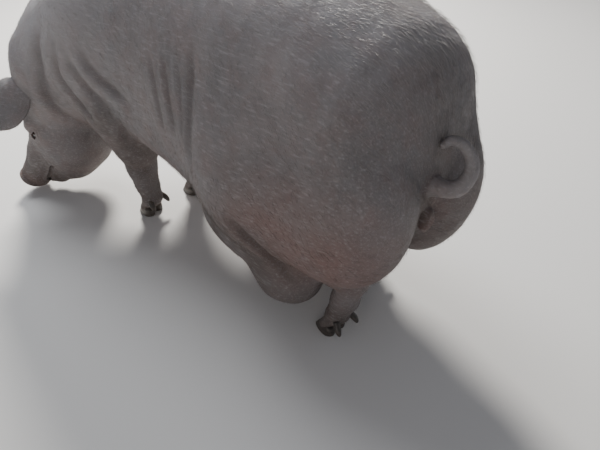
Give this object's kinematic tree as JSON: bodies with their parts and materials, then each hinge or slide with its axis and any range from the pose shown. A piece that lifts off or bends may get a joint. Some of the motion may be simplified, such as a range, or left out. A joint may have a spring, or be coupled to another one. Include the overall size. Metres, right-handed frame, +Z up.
{
  "type": "domestic sow",
  "caption": "Heavy domestic sow standing with its lop-eared head lowered to the floor, a deep rounded body, full udder and a curled tail; a still model.",
  "frame": {"origin": "centre of the bounding box's footprint, on the floor plane that the soles stand on", "axes": "+Z up; the sow faces -X, so its left side is towards -Y and its tail towards +X"},
  "size_m": [1.7056, 0.7846, 0.965],
  "materials": {
    "skin": "dusty pinkish skin under short sparse pale bristles",
    "horn": "dull dark horn of claws and dewclaws",
    "eye": "wet dark eyeball"
  },
  "bodies": {
    "root": {"torso": "skin", "neck": "skin", "head": "skin", "tail": "skin", "leg_hind_left": "skin", "leg_hind_right": "skin", "leg_fore_left": "skin", "leg_fore_right": "skin", "ear_left": "skin", "ear_right": "skin", "eye_left": "eye", "eye_right": "eye", "claw_hind_left_outer": "horn", "claw_hind_left_inner": "horn", "claw_hind_right_outer": "horn", "claw_hind_right_inner": "horn", "claw_fore_left_outer": "horn", "claw_fore_left_inner": "horn", "claw_fore_right_outer": "horn", "claw_fore_right_inner": "horn", "dewclaw_hind_left_outer": "horn", "dewclaw_hind_left_inner": "horn", "dewclaw_hind_right_outer": "horn", "dewclaw_hind_right_inner": "horn", "dewclaw_fore_left_outer": "horn", "dewclaw_fore_left_inner": "horn", "dewclaw_fore_right_outer": "horn", "dewclaw_fore_right_inner": "horn"}
  },
  "joints": []
}
